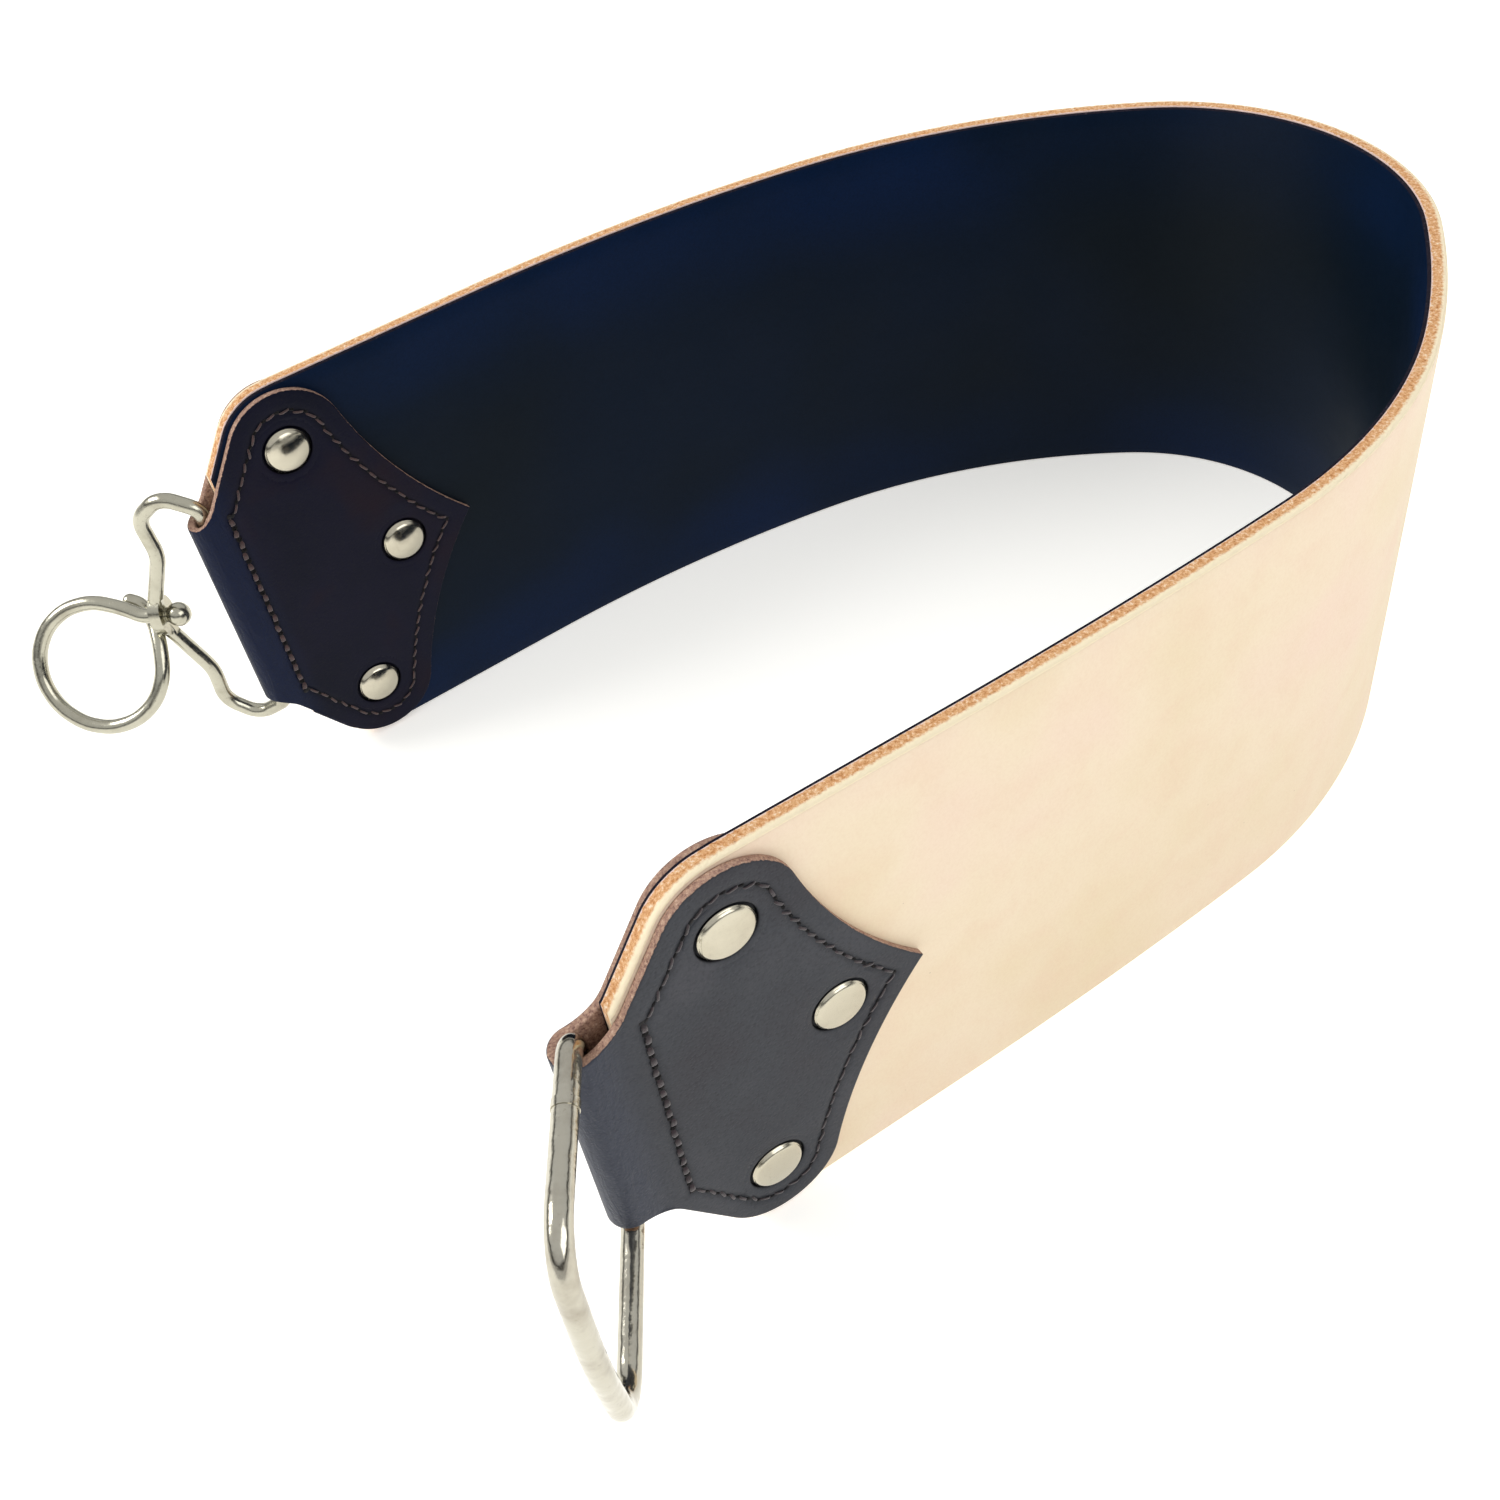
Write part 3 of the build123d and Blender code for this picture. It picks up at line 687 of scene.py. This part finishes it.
def cap(end):
    """One cap: leather folded round the bar, pressed in at its rivets and seams."""
    rows = np.array(cap_columns(end))
    skin_x, skin_out, lining_x, lining_out, half, nx, ny, fold, side = rows.T[:, :, None]

    def within(inset, share, y):
        """Points of every section at heights y, a share of the way from the skin to the lining."""
        x = skin_x - nx * inset + (lining_x - skin_x) * share
        return at_end(end, x, y, skin_out + (lining_out - skin_out) * share)

    inset = CAP_RIM[0][0]
    y = np.maximum(half - ny * inset, SKIN_TIP) * np.linspace(-1, 1, CAP_ROWS)[None]
    x = skin_x - nx * inset + 0 * y
    pressed, groove_shade = sunk(x + CAP_START[end], y)
    pressed = pressed + CREASE_DEPTH * np.exp(-((x - CREASE_X) / CREASE_W) ** 2)
    on_panel = 1 - smooth(*PRESSED_FADE, fold)
    skin = (within(inset, pressed * on_panel / CAP_T, y), 0 * y, groove_shade * on_panel)

    upper, lower = [], []
    for inset, depth, cut in CAP_RIM[1:]:
        edge = np.maximum(half - ny * inset, EDGE_TIP)
        upper.append((within(inset, depth / CAP_T, edge), cut + 0 * edge, 0 * edge))
        lower.append((within(inset, depth / CAP_T, -edge), cut + 0 * edge, 0 * edge))
    y = edge * np.linspace(1, -1, LINING_ROWS)[None, 1:-1]
    lining = (within(inset, 1.0, y), 1 + 0 * y, 0 * y)

    places, cuts, groove_shades = zip(skin, *upper, lining, *lower[::-1])
    places = np.concatenate(places, axis=1)
    shape = places.shape[:2]
    values = {
        "cut": np.concatenate(cuts, axis=1),
        "groove_shade": np.concatenate(groove_shades, axis=1),
        "fold": np.broadcast_to(fold, shape),
        "side": np.broadcast_to(side, shape),
    }
    faces = tube_faces(*shape)
    points = places.reshape(-1, 3)
    values = {key: value.ravel() for key, value in values.items()}
    for way in (1, -1):
        for spot in RIVETS:
            more, shade = lip(end, way, spot)
            faces += lip_faces(len(points))
            points = np.concatenate([points, more])
            # the lips' painted shade of the rivet gaps goes into the same attribute as the grooves' painted
            # shade
            for key, extra in (("cut", 0), ("groove_shade", shade), ("fold", 0), ("side", (1 - way) / 2)):
                values[key] = np.concatenate([values[key], extra + np.zeros(len(more))])
    return piece(f"{end}_cap_leather", points, faces, [CAP], [f"{end}_cap"], values)


for end in ENDS:
    cap(end)


# ---- Stitching --------------------------------------------------------------------------------
ARCH = 7                         # sections along a stitch
PLY_SIDES = 7
HOLE_SIDES = 8
HOLE_HALF = 0.46                 # half-length of a stitch hole
HOLE_SHARE = 0.56                # its half-width, as a share of the thread's width
HOLE_RINGS = [(1.0, -0.12), (0.7, -0.60)]     # share of the hole's size, and height over the skin
SEAM_THREAD = (1.95, 0.44, 0.18, 0.22)        # a stitch's length, width, height, and slant in radians
ROW_THREAD = (1.50, 0.85, 0.26, 0.0)
TURN_SPREAD = 0.14               # how unevenly the stitches are turned, in radians, and placed
PLACE_SPREAD = 0.09
LENGTH_SPREAD = (0.9, 1.08)      # how much shorter and longer they get, and lower and higher
HEIGHT_SPREAD = (0.85, 1.1)
TAPER = 0.45                     # how much narrower a stitch is at its ends
SINK = 0.28                      # a stitch's ends lie this deep
FIRST_SEED = 11


def frame_at(turn):
    """Unit vectors along and across a direction in radians."""
    along = np.array([math.cos(turn), math.sin(turn)])
    return along, np.array([-along[1], along[0]])


def stitch(rng, spot, turn, length, width, height, slant):
    """One stitch as a low arch of thread, in panel coordinates (x, y, out)."""
    along, across = frame_at(turn + slant + rng.gauss(0, TURN_SPREAD))
    length *= rng.uniform(*LENGTH_SPREAD)
    spot = spot + across * rng.gauss(0, PLACE_SPREAD)
    rise = height * rng.uniform(*HEIGHT_SPREAD)
    points = []
    for i in range(ARCH):
        t = i / (ARCH - 1) * 2 - 1
        swell = (1 - TAPER * t**4) * width / 2
        middle = spot + along * t * length / 2
        lift = rise * (1 - t**4) - SINK
        for k in range(PLY_SIDES):
            a = 2 * math.pi * k / PLY_SIDES
            out = lift + (0.5 + 0.5 * math.sin(a)) * rise * (1 - 0.5 * t**4)
            flat = middle + across * math.cos(a) * swell
            points.append((flat[0], flat[1], out))
    return points


def hole_shade_plug(spot, turn, width, way):
    """A near-black oval plug at one end of a stitch, painted shade where the hole is, from just over the
    pressed-in channel into the leather.
    """
    along, across = frame_at(turn)
    middle = spot + along * way * STITCH_PITCH / 2
    points = []
    for share, out in HOLE_RINGS:
        for a in np.linspace(0, 2 * math.pi, HOLE_SIDES + 1)[:-1]:
            reach = along * HOLE_HALF * math.cos(a) + across * width * HOLE_SHARE * math.sin(a)
            points.append((*(middle + share * reach), out))
    return points


def plug_faces(first):
    """Faces of one closed plug whose top ring of points starts at first, and whose foot follows it."""
    top = list(range(first, first + HOLE_SIDES))
    foot = [i + HOLE_SIDES for i in top]
    walls = [(top[k - 1], foot[k - 1], foot[k], top[k]) for k in range(HOLE_SIDES)]
    return [tuple(top), tuple(reversed(foot)), *walls]


def stitching(end, face, seed):
    """All the thread on one face of a cap, with a near-black plug of painted shade at each hole."""
    rng = random.Random(seed)
    points, faces, kinds = [], [], []
    for places, thread in ((seam_stitches(), SEAM_THREAD), (row_stitches(), ROW_THREAD)):
        length, width, height, slant = thread
        for spot, turn in places:
            new = tube_faces(ARCH, PLY_SIDES, len(points))
            points += stitch(rng, spot, turn, length, width, height, slant if spot[1] >= 0 else -slant)
            faces += new
            kinds += [0] * len(new)
            for way in (-1, 1):
                new = plug_faces(len(points))
                points += hole_shade_plug(spot, turn, width, way)
                faces += new
                kinds += [1] * len(new)
    x, y, out = np.array(points).T
    way = 1 if face == "outer" else -1
    place = at_end(end, x - CAP_START[end], y, way * (CAP_OUT + out))
    return piece(f"{end}_{face}_thread", place, faces, [THREADS[end], HOLE_SHADE],
                 [f"{end}_{face}_stitching"], face_material=kinds)


thread_runs = [(end, face) for end in ENDS for face in ("outer", "inner")]
for seed, (end, face) in enumerate(thread_runs, start=FIRST_SEED):
    stitching(end, face, seed)


# ---- Rivets -----------------------------------------------------------------------------------
TURNS = 96
DOME_STEP = 0.14                 # between the points of a head's section, and on its shoulder
EDGE_STEP = 0.06
SHOULDER_W = 0.75                # from where the shoulder starts to the outside of the head
RIM_W = 0.16                     # the rolled rim, which starts at this slope
RIM_SLOPE = 62
RIM_OVER = 0.02                  # the roll starts this far inside the shoulder's end
RIM_REACH = 0.18                 # how far the roll bulges out, and down
RIM_DROP = 0.14
DIMPLE_R = 0.9                   # the dip in a head's middle
POST_R = 1.6


def crown(radius, top, dome, dip):
    """Section (r, out) of a head: a dome as steep as dome degrees, a shoulder, a rolled rim, an underside."""
    shape = [(0.0, top - dip)]
    r, height = 0.0, top
    shoulder = radius - SHOULDER_W
    rim = radius - RIM_W
    while r < rim - 1e-6:
        step = min(DOME_STEP if r < shoulder else EDGE_STEP, rim - r)
        middle = r + step / 2
        if middle < shoulder:
            slope = dome * middle / shoulder
        else:
            slope = dome + (RIM_SLOPE - dome) * (middle - shoulder) / (rim - shoulder)
        r += step
        height -= step * math.tan(math.radians(slope))
        shape.append((r, height - dip * math.exp(-(r / DIMPLE_R) ** 2)))
    for angle in (10, -15, -40, -65, -90):
        c, s = unit(angle)
        shape.append((rim - RIM_OVER + RIM_REACH * c, height - RIM_DROP + RIM_DROP * s))
    shape.append((POST_R, height - 2 * RIM_DROP))
    return shape


def lathe(name, node, end, spot, way, section):
    """A head turned about its rivet's axis, with its shank."""
    x, y = spot
    x = x - CAP_START[end]
    ring = section[1:]
    count = len(ring)
    points, faces = [], []
    for k in range(TURNS):
        c, s = unit(360 * k / TURNS)
        points += [(x + r * c, y + r * s, out) for r, out in ring]
    points += [(x, y, section[0][1]), (x, y, section[-1][1])]
    top, bottom = len(points) - 2, len(points) - 1
    for k in range(TURNS):
        a, b = k * count, (k + 1) % TURNS * count
        faces.append((top, a, b))
        faces += [(a + i, a + i + 1, b + i + 1, b + i) for i in range(count - 1)]
        faces.append((a + count - 1, bottom, b + count - 1))
    x, y, out = np.array(points).T
    place = at_end(end, x, y, way * (CAP_OUT + out))
    return piece(name, place, faces, [RIVET], [node])


# Each head's section ends in its shank: the post under the outer one, the stem under the inner one.
OUTER_HEAD = crown(HEAD_R, 0.62, 9.0, 0.03) + [(POST_R, -3.0), (1.0, -3.0)]
INNER_HEAD = crown(CAP_R, 1.30, 27.0, 0.0) + [(0.95, -0.60), (0.95, -5.0)]
for end in ENDS:
    for number, spot in enumerate(RIVETS, start=1):
        lathe(f"{end}_rivet_outer_{number}", f"{end}_rivet_post_{number}", end, spot, 1, OUTER_HEAD)
        lathe(f"{end}_rivet_inner_{number}", f"{end}_rivet_cap_{number}", end, spot, -1, INNER_HEAD)


# ---- Wire parts keep their CAD shape ------------------------------------------------------------
for node, material in (("hand_ring", RING), ("hook_yoke", HOOK), ("swivel_eye", HOOK)):
    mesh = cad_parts[node].data
    mesh.materials.clear()
    mesh.materials.append(material)


# ---- Floor, light and camera, in metres ---------------------------------------------------------
FLOOR_HALF = 3.0
CAMERA_PLACE = (0.0067, -0.18244, 0.2149)
CAMERA_PITCH = 45.8              # downwards
CAMERA_ROLL = -8.82


def show(name, data):
    """A new object of the scene that isn't a piece."""
    obj = bpy.data.objects.new(name, data)
    bpy.context.scene.collection.objects.link(obj)
    return obj


def floor():
    """Plain pale floor."""
    n = Nodes("studio_floor", Roughness=0.7, Specular_IOR_Level=0.2,
              Emission_Strength=0.42, Emission_Color=tone("fffefa"))
    colour = n.ramp(n.noise(240.0, 2.0), (0.3, "f6f5f1"), (0.7, "faf9f6"))
    mesh = bpy.data.meshes.new("floor")
    corners = [(x * FLOOR_HALF, y * FLOOR_HALF, 0) for x, y in ((-1, -1), (1, -1), (1, 1), (-1, 1))]
    mesh.from_pydata(corners, [], [(0, 1, 2, 3)])
    mesh.materials.append(n.finish(Base_Color=colour))
    show("floor", mesh)


def area_light(name, place, aim, size, power, colour):
    """Soft rectangular light."""
    data = bpy.data.lights.new(name, "AREA")
    data.shape = "RECTANGLE"
    data.size, data.size_y = size
    data.energy = power
    data.color = colour
    obj = show(name, data)
    obj.location = place
    obj.rotation_euler = (Vector(aim) - Vector(place)).to_track_quat("-Z", "Y").to_euler()


def sky():
    """Studio surroundings: pale at the horizon, a dim band over it, and bright above."""
    world = bpy.data.worlds.new("studio")
    bpy.context.scene.world = world
    world.use_nodes = True
    tree = world.node_tree
    place = tree.nodes.new("ShaderNodeTexCoord")
    split = tree.nodes.new("ShaderNodeSeparateXYZ")
    ramp = tree.nodes.new("ShaderNodeValToRGB")
    tree.links.new(place.outputs["Generated"], split.inputs[0])
    tree.links.new(split.outputs["Z"], ramp.inputs["Fac"])
    pale, dim = (0.92, 0.92, 0.91, 1), (0.07, 0.067, 0.063, 1)
    bright, white = (0.92, 0.93, 0.95, 1), (1, 1, 1, 1)
    set_stops(ramp.color_ramp, [(0.0, pale), (0.14, pale), (0.19, dim),
                                (0.28, dim), (0.40, bright), (1.0, white)])
    background = tree.nodes["Background"]
    tree.links.new(ramp.outputs["Color"], background.inputs["Color"])
    background.inputs["Strength"].default_value = 0.82


def camera():
    """Camera at the photograph's viewing angle."""
    pitch, roll = math.radians(CAMERA_PITCH), math.radians(CAMERA_ROLL)
    ahead = Vector((0, math.cos(pitch), -math.sin(pitch)))
    above = Vector((0, math.sin(pitch), math.cos(pitch)))
    right = Vector((1, 0, 0))
    across = right * math.cos(roll) + above * math.sin(roll)
    upright = above * math.cos(roll) - right * math.sin(roll)
    turn = Matrix((across, upright, -ahead)).transposed().to_4x4()
    obj = show("camera", bpy.data.cameras.new("camera"))
    obj.matrix_world = Matrix.Translation(CAMERA_PLACE) @ turn
    obj.data.lens = 39.89
    obj.data.shift_x = -0.026
    obj.data.shift_y = -0.0033
    obj.data.clip_start = 0.01
    bpy.context.scene.camera = obj


floor()
sky()
area_light("left_key", (-0.95, 0.10, 0.85), (0, 0, 0), (0.6, 0.5), 9.0, (1.0, 0.99, 0.97))
area_light("front_right", (0.7, -0.6, 0.7), (0.02, 0, 0.04), (0.8, 0.6), 3.0, (1.0, 1.0, 1.0))
camera()
bpy.context.scene.view_settings.view_transform = "Standard"
